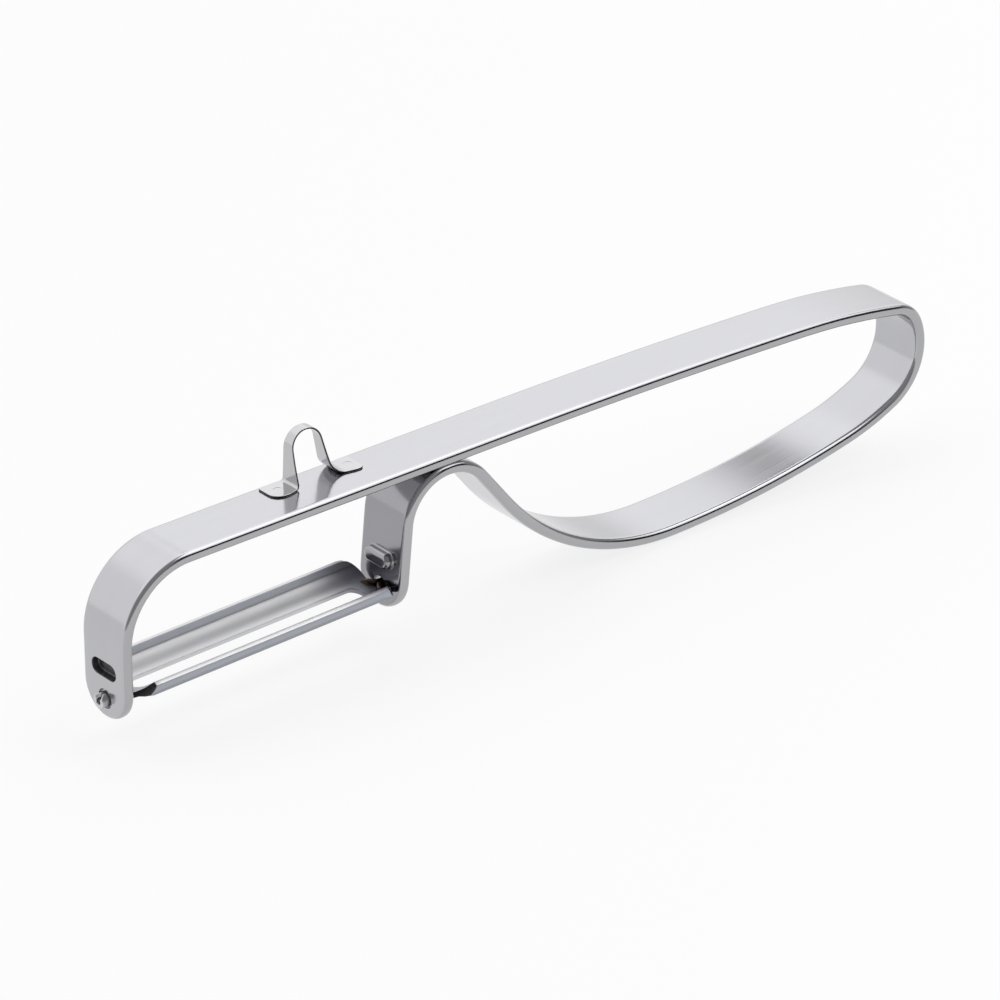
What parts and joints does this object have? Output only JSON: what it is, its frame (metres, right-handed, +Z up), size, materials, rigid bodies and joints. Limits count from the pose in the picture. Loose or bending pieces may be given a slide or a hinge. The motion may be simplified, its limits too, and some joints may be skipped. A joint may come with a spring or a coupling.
{
  "type": "vegetable peeler",
  "caption": "Steel swivel peeler: a bent strip forms head and hand loop, a slotted trough blade swings between its arms, and a small strap loop on top lifts out potato eyes.",
  "frame": {"origin": "under the middle of the overall length, on the strip's middle plane, at the level of the grip's lowest point", "axes": "+X along the top run towards the tail, +Z up, -Y the side of the bevelled cutting rail"},
  "size_m": [0.1838, 0.0127, 0.0437],
  "materials": {
    "strip_steel": "stainless strip, brushed along its length, edges tumbled round",
    "blade_steel": "hardened stainless sheet, satin inside, ground along the cutting rail",
    "loop_steel": "stainless strap, polished"
  },
  "bodies": {
    "frame": {"frame_strip": "strip_steel", "eye_remover_loop": "loop_steel"},
    "blade": {"swivel_blade": "blade_steel"}
  },
  "joints": [
    {"name": "blade_swivel", "type": "hinge", "parent": "frame", "child": "blade", "pos_m": [-0.05969, 0, 0.00849], "axis": [0.9998, 0, 0.021], "range_deg": [-25, 25]}
  ]
}
